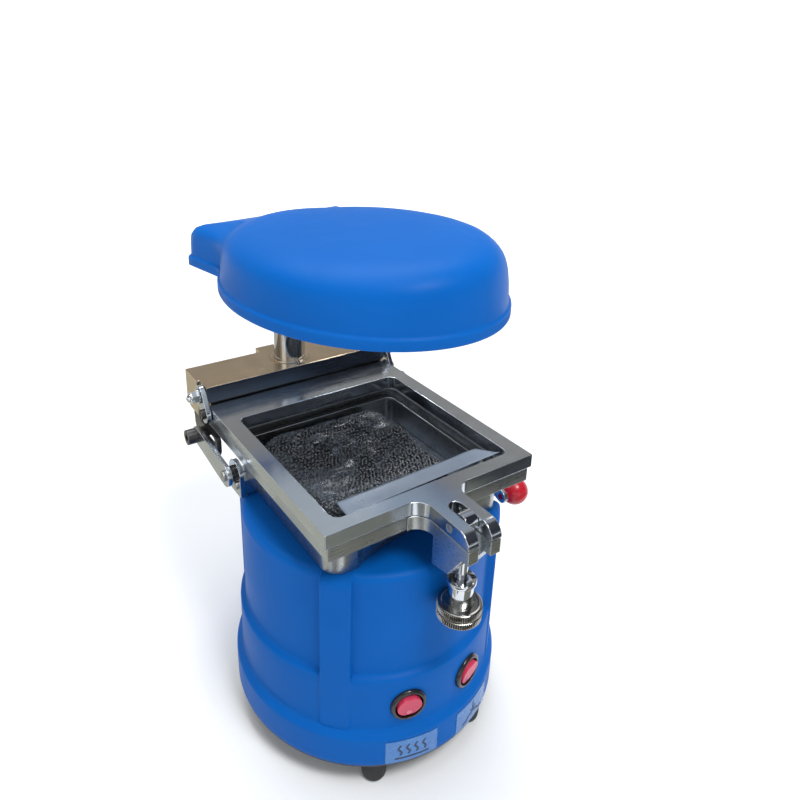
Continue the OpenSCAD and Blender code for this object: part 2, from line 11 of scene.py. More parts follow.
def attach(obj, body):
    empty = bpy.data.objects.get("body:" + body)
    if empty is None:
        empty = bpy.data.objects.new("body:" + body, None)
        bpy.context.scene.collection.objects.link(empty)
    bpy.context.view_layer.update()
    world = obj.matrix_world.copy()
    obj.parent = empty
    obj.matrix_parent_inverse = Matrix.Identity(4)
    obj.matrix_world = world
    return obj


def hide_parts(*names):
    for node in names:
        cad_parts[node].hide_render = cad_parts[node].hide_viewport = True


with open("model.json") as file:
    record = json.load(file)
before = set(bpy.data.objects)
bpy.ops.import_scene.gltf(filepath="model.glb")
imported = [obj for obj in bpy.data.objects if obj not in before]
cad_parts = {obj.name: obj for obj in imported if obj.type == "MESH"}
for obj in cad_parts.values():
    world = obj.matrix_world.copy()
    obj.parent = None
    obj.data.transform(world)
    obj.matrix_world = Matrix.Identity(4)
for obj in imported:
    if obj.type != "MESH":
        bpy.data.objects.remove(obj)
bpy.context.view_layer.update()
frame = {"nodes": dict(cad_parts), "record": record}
N = frame["nodes"]
scene = bpy.context.scene
scene.view_settings.view_transform = "Standard"
rnd = random.Random(7)

# ------------------------------------------------------------------ materials


class Mat:
    """Small helper round a node material."""

    def __init__(self, name):
        self.m = bpy.data.materials.new(name)
        self.m.use_nodes = True
        self.t = self.m.node_tree
        self.t.nodes.clear()
        self.out = self.t.nodes.new("ShaderNodeOutputMaterial")
        self.p = self.t.nodes.new("ShaderNodeBsdfPrincipled")
        self.t.links.new(self.p.outputs[0], self.out.inputs[0])
        self.co = self.t.nodes.new("ShaderNodeTexCoord").outputs["Object"]

    def link(self, a, b):
        self.t.links.new(a, b)

    def stretch(self, s, rot=(0, 0, 0)):
        n = self.t.nodes.new("ShaderNodeMapping")
        n.inputs["Scale"].default_value = s
        n.inputs["Rotation"].default_value = rot
        self.link(self.co, n.inputs["Vector"])
        return n.outputs[0]

    def noise(self, scale, detail=3.0, rough=0.55, vec=None, distortion=0.0):
        n = self.t.nodes.new("ShaderNodeTexNoise")
        n.inputs["Scale"].default_value = scale
        n.inputs["Detail"].default_value = detail
        n.inputs["Roughness"].default_value = rough
        n.inputs["Distortion"].default_value = distortion
        self.link(vec or self.co, n.inputs["Vector"])
        return n.outputs["Fac"]

    def edge(self, spread=0.012):
        """Rises along convex edges, for light wear."""
        n = self.t.nodes.new("ShaderNodeNewGeometry")
        return self.range(n.outputs["Pointiness"], 0.0, 1.0, 0.5 + spread, 0.5 + 4 * spread)

    def range(self, v, lo, hi, a=0.3, b=0.7):
        n = self.t.nodes.new("ShaderNodeMapRange")
        n.inputs["From Min"].default_value = a
        n.inputs["From Max"].default_value = b
        n.inputs["To Min"].default_value = lo
        n.inputs["To Max"].default_value = hi
        self.link(v, n.inputs["Value"])
        return n.outputs["Result"]

    def math(self, op, a, b=None):
        n = self.t.nodes.new("ShaderNodeMath")
        n.operation = op
        for i, v in enumerate((a, b)):
            if v is None:
                continue
            if isinstance(v, (int, float)):
                n.inputs[i].default_value = v
            else:
                self.link(v, n.inputs[i])
        return n.outputs[0]

    def ramp(self, v, stops):
        n = self.t.nodes.new("ShaderNodeValToRGB")
        e = n.color_ramp.elements
        while len(e) > 1:
            e.remove(e[-1])
        e[0].position, e[0].color = stops[0][0], (*stops[0][1], 1)
        for pos, c in stops[1:]:
            x = e.new(pos)
            x.color = (*c, 1)
        self.link(v, n.inputs["Fac"])
        return n.outputs["Color"]

    def mix(self, fac, a, b):
        n = self.t.nodes.new("ShaderNodeMix")
        n.data_type = "RGBA"
        for sock, v in ((n.inputs[0], fac), (n.inputs[6], a), (n.inputs[7], b)):
            if isinstance(v, (int, float)):
                sock.default_value = v
            elif isinstance(v, tuple):
                sock.default_value = (*v, 1)
            else:
                self.link(v, sock)
        return n.outputs[2]

    def set(self, **k):
        names = {"color": "Base Color", "rough": "Roughness", "metal": "Metallic", "coat": "Coat Weight",
                 "coat_rough": "Coat Roughness", "ior": "IOR", "spec": "Specular IOR Level", "alpha": "Alpha",
                 "trans": "Transmission Weight", "sheen": "Sheen Weight", "aniso": "Anisotropic"}
        for key, v in k.items():
            s = self.p.inputs[names[key]]
            if isinstance(v, (int, float)):
                s.default_value = v
            elif isinstance(v, tuple):
                s.default_value = (*v, 1)
            else:
                self.link(v, s)

    def bump(self, h, strength=0.2, dist=0.0002):
        n = self.t.nodes.new("ShaderNodeBump")
        n.inputs["Strength"].default_value = strength
        n.inputs["Distance"].default_value = dist
        self.link(h, n.inputs["Height"])
        self.link(n.outputs[0], self.p.inputs["Normal"])


def blue_paint():
    m = Mat("blue_paint")
    big = m.noise(9, 3)
    fine = m.noise(1100, 2)
    peel = m.noise(160, 2)
    col = m.ramp(m.range(big, 0.0, 1.0), [(0.0, (0.0008, 0.092, 0.375)), (1.0, (0.0015, 0.108, 0.43))])
    dust = m.range(m.noise(70, 6, 0.7), 0.0, 0.05, 0.58, 0.82)
    worn = m.math("MULTIPLY", m.edge(0.02), 0.22)
    col = m.mix(dust, col, (0.02, 0.16, 0.50))
    col = m.mix(worn, col, (0.03, 0.22, 0.62))
    m.set(color=col, rough=m.range(m.noise(35, 4), 0.40, 0.48), spec=0.075)
    m.bump(m.math("ADD", fine, m.math("MULTIPLY", peel, 0.7)), 0.09, 0.00012)
    return m.m


def steel(name, base=(0.60, 0.62, 0.65), rough=(0.14, 0.26), grain=(6, 220, 220), bump=0.05, tint=(0.50, 0.52, 0.56), scratch=0.35, front=None):
    """front is a darker tone painted on faces that look to the front: painted shade that stands in for the dark
    reflections they show.
    """
    m = Mat(name)
    streak = m.noise(6, 5, 0.6, m.stretch(grain))
    cloud = m.noise(28, 5, 0.6)
    smudge = m.range(m.noise(75, 6, 0.65, distortion=0.6), 0.0, 1.0, 0.45, 0.75)
    fine = m.range(m.noise(9, 4, 0.7, m.stretch(tuple(5 * g for g in grain), (0, 0, 0.5))), 0.0, 1.0, 0.60, 0.72)
    col = m.mix(m.range(cloud, 0.0, 1.0), base, tint)
    col = m.mix(m.math("MULTIPLY", fine, 0.12), col, tuple(0.6 * x for x in base))
    if front:
        # painted shade: faces whose normal points to the front (-Y) are mixed towards the darker front tone
        nrm = m.t.nodes.new("ShaderNodeTexCoord").outputs["Normal"]
        sep = m.t.nodes.new("ShaderNodeSeparateXYZ")
        m.link(nrm, sep.inputs[0])
        col = m.mix(m.range(sep.outputs["Y"], 1.0, 0.0, -0.9, -0.5), col, front)
    r = m.math("ADD", m.range(streak, rough[0], rough[1]), m.math("MULTIPLY", smudge, 0.06))
    m.set(color=col, metal=1.0, rough=r)
    m.bump(m.math("ADD", streak, m.math("MULTIPLY", fine, scratch)), bump, 0.0002)
    return m.m


def chrome(name="chrome", base=(0.70, 0.72, 0.75), r=(0.05, 0.12)):
    m = Mat(name)
    m.set(color=m.mix(m.range(m.noise(90, 4), 0, 1), base, tuple(0.92 * x for x in base)), metal=1.0,
          rough=m.range(m.noise(160, 5, 0.6), r[0], r[1]))
    m.bump(m.noise(500, 2), 0.03, 0.0001)
    return m.m


def plastic(name, col, rough=(0.25, 0.35), coat=0.0, grain=700, bump=0.05, spec=0.5):
    m = Mat(name)
    c2 = tuple(min(1.0, x * 1.25 + 0.004) for x in col)
    m.set(color=m.mix(m.range(m.noise(40, 4), 0, 1), col, c2), rough=m.range(m.noise(120, 4), *rough), coat=coat, spec=spec)
    m.bump(m.noise(grain, 2), bump, 0.0001)
    return m.m


def bag_film():
    # clear film: haze in patches and along soft folds, the rest nearly invisible
    m = Mat("bag_film")
    haze = m.range(m.noise(26, 6, 0.62, distortion=1.2), 0.0, 0.50, 0.47, 0.68)
    fold = m.range(m.noise(9, 4, 0.6, m.stretch((4, 22, 5), (0, 0, 0.35)), distortion=1.4), 0.0, 0.40, 0.54, 0.63)
    m.set(color=m.mix(m.range(m.noise(60, 4), 0, 1), (0.11, 0.135, 0.165), (0.19, 0.225, 0.265)), rough=m.range(m.noise(90, 4), 0.16, 0.34),
          alpha=m.math("ADD", haze, fold), spec=0.7)
    m.bump(m.noise(60, 4, 0.6, distortion=1.0), 0.5, 0.0008)
    return m.m


def strip_film():
    m = Mat("header_film")
    m.set(color=m.mix(m.range(m.noise(45, 5), 0, 1), (0.20, 0.255, 0.335), (0.28, 0.34, 0.42)), rough=m.range(m.noise(70, 4), 0.26, 0.40), spec=0.6)
    m.bump(m.noise(40, 4, 0.6), 0.25, 0.0006)
    return m.m


def label_film():
    m = Mat("label_film")
    m.set(color=m.mix(m.range(m.noise(55, 4), 0, 1), (0.045, 0.165, 0.43), (0.07, 0.205, 0.49)), rough=m.range(m.noise(120, 4), 0.22, 0.32), spec=0.5)
    m.bump(m.noise(300, 3), 0.03, 0.0001)
    return m.m


M_BLUE = blue_paint()
M_STEEL = steel("polished_steel", base=(0.64, 0.68, 0.73), tint=(0.56, 0.60, 0.65), rough=(0.12, 0.22))
# the satin and carriage steels carry painted shade: a darker tone on their front-facing faces
M_SATIN_FRONT_SHADE = steel("satin_steel_front_shade", base=(0.60, 0.63, 0.66), tint=(0.50, 0.53, 0.56), rough=(0.24, 0.34), bump=0.02, scratch=0.0, front=(0.42, 0.43, 0.42))
M_CARR_FRONT_SHADE = steel("carriage_steel_front_shade", base=(0.74, 0.60, 0.43), tint=(0.66, 0.54, 0.39), rough=(0.14, 0.24), front=(0.16, 0.19, 0.24))
M_CHROME = chrome()
M_KNOB = steel("knob_steel", base=(0.42, 0.405, 0.375), tint=(0.34, 0.33, 0.31), rough=(0.16, 0.24), grain=(60, 60, 60))
# near-black steel painted into the knob's knurl valleys and middle groove as shade
M_GROOVE_SHADE = steel("knob_groove_shade", base=(0.07, 0.065, 0.06), tint=(0.045, 0.042, 0.04), rough=(0.35, 0.5), grain=(60, 60, 60))
M_ZINC = steel("steel_zinc", base=(0.5, 0.5, 0.5), tint=(0.42, 0.42, 0.42), rough=(0.28, 0.42), grain=(60, 60, 60))
M_DARK = steel("dark_steel", base=(0.11, 0.105, 0.105), tint=(0.07, 0.066, 0.066), rough=(0.26, 0.42), grain=(60, 60, 60))
M_ALU = steel("aluminium", base=(0.7, 0.7, 0.71), tint=(0.6, 0.6, 0.61), rough=(0.3, 0.45), grain=(40, 40, 40))
M_WELL = steel("well_steel", base=(0.34, 0.37, 0.41), tint=(0.25, 0.27, 0.31), rough=(0.24, 0.36))
M_RUBBER = plastic("rubber", (0.012, 0.012, 0.012), (0.45, 0.65), grain=1200, bump=0.2, spec=0.35)
M_BLACK = plastic("black_plastic", (0.010, 0.010, 0.011), (0.18, 0.28), coat=0.2)
M_MATTE = plastic("black_matte", (0.02, 0.02, 0.021), (0.45, 0.6), grain=1500, bump=0.25)
M_RED = plastic("red_gloss", (0.36, 0.006, 0.016), (0.22, 0.32), coat=0.15, bump=0.03, spec=0.4)
M_REDSW = plastic("red_rocker", (0.50, 0.028, 0.075), (0.30, 0.40), coat=0.1)
M_CERAMIC = plastic("ceramic", (0.72, 0.69, 0.62), (0.6, 0.75), grain=900, bump=0.3, spec=0.3)
M_WIRE = steel("heater_wire", base=(0.22, 0.2, 0.19), tint=(0.16, 0.12, 0.1), rough=(0.5, 0.7), grain=(200, 200, 200))
M_LABEL = label_film()
M_INK = plastic("label_ink", (0.008, 0.024, 0.075), (0.35, 0.5), grain=500, bump=0.02)
M_MARK = plastic("mark_paint", (0.72, 0.36, 0.42), (0.35, 0.5), grain=500, bump=0.02)
M_BEAD = plastic("dark_bead", (0.014, 0.018, 0.026), (0.10, 0.16), coat=1.0, grain=900, bump=0.02, spec=0.7)
M_CORE = plastic("bag_inside", (0.016, 0.020, 0.026), (0.5, 0.7), grain=400, bump=0.3, spec=0.3)
M_FILM = bag_film()
M_STRIP = strip_film()

SLOT_MAT = {
    "blue_paint": M_BLUE, "polished_steel": M_STEEL, "chrome": M_CHROME, "steel_zinc": M_ZINC, "dark_steel": M_DARK,
    "aluminium": M_ALU, "rubber": M_RUBBER, "black_plastic": M_BLACK, "black_matte": M_MATTE,
    "red_gloss": M_RED, "label_film": M_LABEL, "bead_film": M_BLACK, "ceramic": M_CERAMIC, "heater_wire": M_WIRE,
}

# ------------------------------------------------------------------ carried-over nodes

BEVEL = {  # node: edge radius in mm
    "vacuum_table": 0.5, "upper_frame": 0.45, "lower_frame": 0.45, "carriage_block": 0.5,
    "hinge_ears": 0.35, "left_link": 0.4, "lift_lever": 0.4, "bracket_left": 0.35, "bracket_right": 0.35,
    "rear_pillar": 1.0, "power_inlet": 0.5, "perforated_plate": 0.15, "clamp_sleeve": 0.35, "post_base_clamp": 0.4,
    "base_plate": 0.2, "hinge_bolts": 0.15, "switch_bezel_heating": 0.3, "switch_bezel_molding": 0.3,
    "rocker_heating": 0.35, "rocker_molding": 0.35,
}


KEEP_FACES = {"vacuum_table"}  # a ledge that runs all round stays as it is


def carry(name, mat, radius=0.2, seg=2):
    o = N[name]
    o.data.materials.clear()
    o.data.materials.append(mat)
    w = o.modifiers.new("Join", "WELD")
    w.merge_threshold = 2e-6
    if name not in KEEP_FACES:
        d = o.modifiers.new("Clean", "DECIMATE")
        d.decimate_type = "DISSOLVE"
        d.angle_limit = math.radians(0.6)
    b = o.modifiers.new("Edge", "BEVEL")
    b.width = radius / 1000
    b.segments = seg
    b.limit_method = "ANGLE"
    b.angle_limit = math.radians(32)
    b.use_clamp_overlap = False
    n = o.modifiers.new("Normals", "WEIGHTED_NORMAL")
    n.mode = "FACE_AREA_WITH_ANGLE"
    n.weight = 60
    return o


slot_of = {s["node"]: s["material_slot"] for s in frame["record"]["subparts"]}
OWN = {"carriage_block": M_CARR_FRONT_SHADE, "rocker_heating": M_REDSW, "rocker_molding": M_REDSW, "perforated_plate": M_WELL, "slide_bush": M_CARR_FRONT_SHADE, "lift_lever": M_SATIN_FRONT_SHADE,
       "lower_frame": M_SATIN_FRONT_SHADE, "vacuum_table": M_SATIN_FRONT_SHADE}
for name in N:
    carry(name, OWN.get(name, SLOT_MAT[slot_of[name]]), BEVEL.get(name, 0.15))

# ------------------------------------------------------------------ building helpers


def add(name, verts, faces, mat, body, smooth=True, node=None):
    me = bpy.data.meshes.new(name)
    me.from_pydata([tuple(v) for v in verts], [], faces)
    me.validate()
    me.update()
    if smooth:
        me.shade_smooth()
    o = bpy.data.objects.new(name, me)
    scene.collection.objects.link(o)
    me.materials.append(mat)
    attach(o, body)
    if node:
        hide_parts(*([node] if isinstance(node, str) else node))
    return o


def smax(a, b, k):
    h = np.clip(0.5 + 0.5 * (a - b) / k, 0, 1)
    return b * (1 - h) + a * h + k * h * (1 - h)


def smooth_between(x, lo, hi):
    t = np.clip((x - lo) / (hi - lo), 0, 1)
    return t * t * (3 - 2 * t)


# ------------------------------------------------------------------ housing

PANEL_R, BAND_R, FOOT_R, RIB_R = 76.8, 80.2, 84.3, 81.2
SWITCH_AZ, SWITCH_Z = 15.3, 56.5


def housing():
    prof = [(17.0, 83.9), (17.15, 84.15), (17.5, 84.3), (20, 84.3), (28, 84.3), (35.6, 84.3), (36.4, 84.25), (37.0, 84.0), (37.5, 83.6), (38.0, 83.05),
            (38.7, 82.25), (39.4, 81.5), (40.0, 80.95), (40.5, 80.6), (41.1, 80.35), (41.8, 80.22), (43, 80.2), (75.0, 80.2), (75.5, 80.12),
            (76.0, 79.85), (76.4, 79.45), (76.8, 78.9), (77.2, 78.3), (77.6, 77.75), (78.0, 77.3), (78.4, 77.02), (78.9, 76.85), (79.6, 76.8),
            (139.6, 76.8), (140.6, 76.7), (141.5, 76.4), (142.3, 75.85), (143.0, 75.1), (143.5, 74.2), (143.8, 73.4), (143.95, 72.6), (144.0, 71.8)]
    rib = [(38.9, 76.0), (39.4, 80.2), (39.9, 80.8), (40.6, 81.1), (41.6, 81.2), (139.2, 81.2), (140.2, 81.1), (141.2, 80.75), (142.0, 80.2),
           (142.7, 79.4), (143.25, 78.4), (143.6, 77.4), (143.85, 76.2), (143.97, 74.8), (144.0, 73.4)]
    pz, pr = np.array([p[0] for p in prof]), np.array([p[1] for p in prof])
    qz, qr = np.array([p[0] for p in rib]), np.array([p[1] for p in rib])
    zs = sorted(set(round(float(z), 3) for z in list(pz) + list(qz) + list(np.arange(46.3, 67.6, 0.7)) + list(np.arange(83, 138, 6.0)) + [42.4, 95.0, 96.0, 124.0, 125.0]))
    zs = [z for z in zs if z <= 144.0]
    # angles measured from the front towards +X
    ph = set(np.round(np.arange(-180, 180, 1.25), 3))
    for c in (45, 135, -135, -45):
        for e in (-6.51, 6.51):
            ph |= set(np.round(c + e + np.arange(-1.2, 1.21, 0.12), 3))
    for c in (-SWITCH_AZ, SWITCH_AZ):
        ph |= set(np.round(c + np.arange(-8.6, 8.61, 0.43), 3))
    slots = [90 + a for a in (-14, -7, 0, 7, 14)] + [151 + a for a in (-6, 0, 6)] + [-151 + a for a in (-6, 0, 6)]
    for c in slots:
        ph |= {round(c - 1.12, 3), round(c + 1.12, 3), round(c - 0.6, 3), round(c + 0.6, 3)}
    ph = sorted(p for p in ph if -180 <= p < 180)
    keep = [ph[0]]
    for p in ph[1:]:
        if p - keep[-1] > 0.045:
            keep.append(p)
    ph = np.array(keep)
    n = len(ph)
    off = np.min([np.abs((ph - c + 180) % 360 - 180) for c in (45, 135, -135, -45)], axis=0)
    verts, rows = [], []

    def row(z, r):
        rows.append(len(verts))
        a = np.radians(ph)
        for x, y in zip(r * np.sin(a), -r * np.cos(a)):
            verts.append((x / 1000, y / 1000, z / 1000))

    for z in zs:
        r0 = np.interp(z, pz, pr)
        r1 = np.interp(z, qz, qr) if z >= 38.9 else 0.0
        # the rib narrows in a round end just above the foot band
        half = 6.51 * math.sqrt(max(0.0, 1 - ((43.0 - min(z, 43.0)) / 4.4) ** 2)) if z < 43 else 6.51
        s = 1 - smooth_between(off, half - 0.75, half + 0.55)
        r = r0 + s * np.maximum(r1 - r0, 0) if r1 > 0 else np.full(n, r0)
        row(z, r)
    # flat top, inwards to the table
    last = np.array(verts[-n:]) * 1000
    for t in (0.97, 0.9, 0.75, 0.5, 0.36):
        rows.append(len(verts))
        for v in last:
            verts.append((v[0] * t / 1000, v[1] * t / 1000, 0.14403 if t < 0.97 else 0.14402))
    faces = []

    def hidden(p):
        r = math.hypot(p[0], p[1]) * 1000
        if r < 70:
            return False
        a = math.degrees(math.atan2(p[0], -p[1]))
        z = p[2] * 1000
        for c in (-SWITCH_AZ, SWITCH_AZ):
            u = math.sin(math.radians(a - c)) * 80.2
            if abs(a - c) < 20 and u * u + (z - SWITCH_Z) ** 2 < 9.75 ** 2:
                return True
        if abs(a - 90) < 20 and abs(math.sin(math.radians(a - 90)) * 80.2) < 13.2 and abs(z - 59) < 9.8:
            return True
        for c in slots:
            d = (a - c + 180) % 360 - 180
            if abs(d) < 1.12 and 95.0 < z < 125.0:
                return True
        return False

    for a, b in zip(rows, rows[1:]):
        for i in range(n):
            j = (i + 1) % n
            c = [sum(verts[k][m] for k in (a + i, a + j, b + j, b + i)) / 4 for m in range(3)]
            if not hidden(c):
                faces.append((a + i, a + j, b + j, b + i))
    o = add("housing_cover", verts, faces, M_BLUE, "base", node="drum_housing")
    m = o.modifiers.new("Wall", "SOLIDIFY")
    m.thickness = 0.0024
    m.offset = -1
    return o


housing()

# ------------------------------------------------------------------ hood

HOOD_A, HOOD_B, HOOD_L, TURN = 76.4, 95.2, 80.9, math.radians(3.7)


def hood_ring(th, io, it, k):
    """Radius of the hood outline about the middle of the oval, for an oval shrunk by io and a tail shrunk by it."""
    a, b = HOOD_A - io, HOOD_B - io
    c, s = np.cos(th), np.sin(th)
    ro = 1.0 / np.sqrt((c / a) ** 2 + (s / b) ** 2)
    rt = np.zeros_like(th)
    if it < 45:
        # tail: sides spread towards the rear, rear edge at y 26, round corners
        ca = np.abs(c)
        side = (58.75 - it - 0.125 * HOOD_L) / np.maximum(ca - 0.125 * s, 1e-4)
        rear = (26.0 - it + HOOD_L) / np.maximum(s, 1e-4)
        t = np.minimum(side, rear)
        r = max(11.0 - it, 3.0)
        cx, cy = (51.0, 15.0 + HOOD_L) if it <= 8 else (62 - it - r - 0.4, 26 - it - r + HOOD_L)
        x, y = t * ca, t * s
        inside = (x > cx) & (y > cy)
        bq = ca * cx + s * cy
        disc = np.maximum(bq ** 2 - (cx ** 2 + cy ** 2 - r ** 2), 0)
        t = np.where(inside, np.minimum(t, bq + np.sqrt(disc)), t)
        rt = np.where(s > 0.25, t, 0)
    return smax(ro, rt, k) if k > 0 else np.maximum(ro, rt)


def hood():
    n = 288
    # even sampling round the outline
    th = np.linspace(0, 2 * math.pi, n, endpoint=False)
    zo = [(267.0, 0.9), (267.25, 0.35), (267.8, 0.05), (269.5, 0.0), (272.0, 0.0), (272.7, 0.12), (273.2, 0.45),
          (273.5, 0.95), (273.8, 1.45), (274.3, 1.72), (275.2, 1.85), (278, 2.0), (282, 2.35), (285, 2.8), (288, 3.3), (290.5, 4.0),
          (292.5, 4.8), (294.2, 5.8), (295.8, 7.1), (297.2, 8.6), (298.5, 10.4), (299.7, 12.6), (300.8, 15.2), (301.8, 18.4), (302.6, 22.2),
          (303.3, 27.0), (303.9, 33.0), (304.35, 40.0), (304.7, 48.0), (304.95, 58.0), (305.1, 71.0)]

    tail_pts = [(267.0, 0.9), (267.25, 0.35), (267.8, 0.05), (272.0, 0.0), (272.7, 0.12), (273.2, 0.45), (273.5, 0.95),
                (273.8, 1.45), (274.3, 1.72), (280, 1.9), (286.5, 2.4), (289.3, 3.1), (291.4, 4.5), (293, 6.5), (294.2, 9.4),
                (295.2, 13.6), (296.2, 19.6), (297.2, 26.6), (298.2, 34.0), (299.2, 41.5), (300.2, 50.0)]

    def tail_inset(z):
        return float(np.interp(z, [p[0] for p in tail_pts], [p[1] for p in tail_pts]))

    verts, rings = [], []

    def ring(z, io, it, k):
        r = hood_ring(th, io, it, k)
        rings.append(len(verts))
        x, y = r * np.cos(th), r * np.sin(th) - HOOD_L
        c, s = math.cos(TURN), math.sin(TURN)
        for xx, yy in zip(x, y):
            # the pressed dome stands a little higher at the front right than at the back left
            wx, wy = c * xx - s * yy, s * xx + c * yy + 102
            u = (wx - s * HOOD_L) * 0.84 - (wy - 102 + c * HOOD_L) * 0.545
            lift = float(np.clip(0.065 * u - 0.4, -1.8, 4.0)) * float(np.clip((z - 274) / 26, 0, 1))
            verts.append((wx / 1000, wy / 1000, (z + lift) / 1000))

    # inner skin from the roof down to the rim, then the outer skin from the rim up
    inner = [(301.0, 60), (300.6, 45), (299.6, 32), (297.5, 23), (294, 15.5), (291, 11.5), (288, 8.6), (284, 6.6), (276, 5.2), (268, 4.3), (267.2, 4.2)]
    for z, io in inner:
        ring(z, io, io if z <= 287 else min(90, io * 1.2 + (z - 287) * 14), 6.0)
    ring(267.0, 3.6, 3.6, 5.0)
    for z, io in zo:
        ring(z, io, tail_inset(z), 5.0 + 13.0 * float(smooth_between(z, 273.5, 292)))
    faces = []
    for a, b in zip(rings, rings[1:]):
        for i in range(n):
            j = (i + 1) % n
            faces.append((a + i, a + j, b + j, b + i))
    c, s = math.cos(TURN), math.sin(TURN)
    for zc, base, flip in ((300.8, rings[0], True), (304.9, rings[-1], False)):
        k = len(verts)
        verts.append(((s * HOOD_L) / 1000, (-c * HOOD_L + 102) / 1000, zc / 1000))
        for i in range(n):
            j = (i + 1) % n
            faces.append((base + j, base + i, k) if flip else (base + i, base + j, k))
    return add("hood_cover", verts, faces, M_BLUE, "hood", node="hood_shell")


hood()

# ------------------------------------------------------------------ clamp knob


def knob():
    teeth = 64
    y0, n = -89.5, teeth * 6
    a = np.linspace(0, 2 * math.pi, n, endpoint=False)
    tooth = np.tile([1.0, 1.0, 0.45, 0.0, 0.0, 0.45], teeth)
    # height, radius, knurl depth
    prof = [(129.0, 3.05, 0), (129.0, 7.2, 0), (128.75, 7.5, 0), (128.75, 9.6, 0), (129.0, 9.9, 0), (129.0, 10.9, 0), (128.85, 11.35, 0), (128.5, 11.7, 0.0),
            (128.2, 11.95, 0.50), (127.9, 12.08, 0.72), (125.2, 12.08, 0.72), (124.95, 11.9, 0.4), (124.8, 11.55, 0.0), (124.55, 11.2, 0), (124.2, 11.1, 0),
            (123.9, 11.2, 0), (123.7, 11.55, 0.0), (123.5, 11.9, 0.4), (123.2, 12.08, 0.72), (120.7, 12.08, 0.72), (120.4, 11.95, 0.5), (120.1, 11.65, 0.0),
            (119.75, 11.2, 0), (119.6, 10.7, 0), (119.6, 4.2, 0), (119.9, 3.6, 0), (120.2, 3.05, 0)]
    verts, faces = [], []
    for z, r, k in prof:
        rr = r - k * (1 - tooth)
        for x, y in zip(rr * np.cos(a), rr * np.sin(a)):
            verts.append((x / 1000, (y + y0) / 1000, z / 1000))
    m = len(prof)
    for i in range(m):
        for j in range(n):
            p, q = (i + 1) % m, (j + 1) % n
            faces.append((i * n + j, p * n + j, p * n + q, i * n + q))
    o = add("knurled_knob", verts, faces, M_KNOB, "clamp_nut", node="clamp_knob")
    # painted shade: a second, near-black steel goes on the knurl valleys and on the band between the two knurled rings,
    # in place of the shade in these recesses
    o.data.materials.append(M_GROOVE_SHADE)
    groove = {i for i, t in enumerate(prof) if t[2] > 0.45}
    for k, f in enumerate(o.data.polygons):
        i, j = divmod(k, n)
        if i in groove and (i + 1) % m in groove and j % 6 in (2, 3, 4):
            f.material_index = 1
        elif prof[i][1] < 11.3 and prof[(i + 1) % m][1] < 11.3 and 123 < prof[i][0] < 125:
            f.material_index = 1
    e = o.modifiers.new("Edges", "EDGE_SPLIT")
    e.split_angle = math.radians(30)
    return o


knob()

# ------------------------------------------------------------------ clamp sleeve


def sleeve():
    y0, n = -89.5, 120
    prof = [(143.5, 3.04), (144.0, 3.5), (144.0, 7.45), (143.85, 7.75), (143.5, 7.9), (142.0, 7.9), (141.65, 7.75), (141.45, 7.4), (141.4, 6.95),
            (141.1, 6.72), (140.6, 6.7), (129.6, 6.7), (129.25, 6.6), (129.1, 6.3), (129.1, 3.04)]
    verts, faces = [], []
    for z, r in prof:
        for k in range(n):
            t = 2 * math.pi * k / n
            verts.append((r * math.cos(t) / 1000, (r * math.sin(t) + y0) / 1000, z / 1000))
    m = len(prof)
    for i in range(m):
        for j in range(n):
            p, q = (i + 1) % m, (j + 1) % n
            faces.append((i * n + j, p * n + j, p * n + q, i * n + q))
    o = add("turned_sleeve", verts, faces, M_CHROME, "clamp_slider", node="clamp_sleeve")
    e = o.modifiers.new("Edges", "EDGE_SPLIT")
    e.split_angle = math.radians(35)


sleeve()

# ------------------------------------------------------------------ bead bag

BAG = (-52.6, -43.0, 42.5, 52.8)


def bag_edge(u):
    """Centre and half sizes of the filled part, from BAG; the wavy rounded outline is made in bag()."""
    x0, y0, x1, y1 = BAG
    cx, cy, hx, hy = (x0 + x1) / 2, (y0 + y1) / 2, (x1 - x0) / 2, (y1 - y0) / 2
    return cx, cy, hx, hy


def bag_height(x, y):
    """Top of the beads in mm."""
    cx, cy, hx, hy = bag_edge(0)
    u, v = abs((x - cx) / hx), abs((y - cy) / hy)
    edge = (u ** 5 + v ** 5) ** 0.2
    p = Vector((x * 0.045, y * 0.06, 3.1))
    lump = 1.7 * noise.noise(p) + 0.9 * noise.noise(p * 2.3)
    ridge = 1.6 * math.exp(-((y - 4 - 0.35 * x) / 9) ** 2) - 1.5 * math.exp(-((y - 22 - 0.25 * x) / 6) ** 2)
    front = 1.6 * math.exp(-((y + 30) / 16) ** 2)
    drop = 5.5 * max(0.0, (edge - 0.84) / 0.16) ** 2.2
    # the bag leans up on the rear and left walls of the well
    rear = 4.6 * float(smooth_between(y, 0.0, 50.0)) + 2.2 * float(smooth_between(-x, 18.0, 50.0))
    return 164.4 + lump + ridge + front + rear - drop


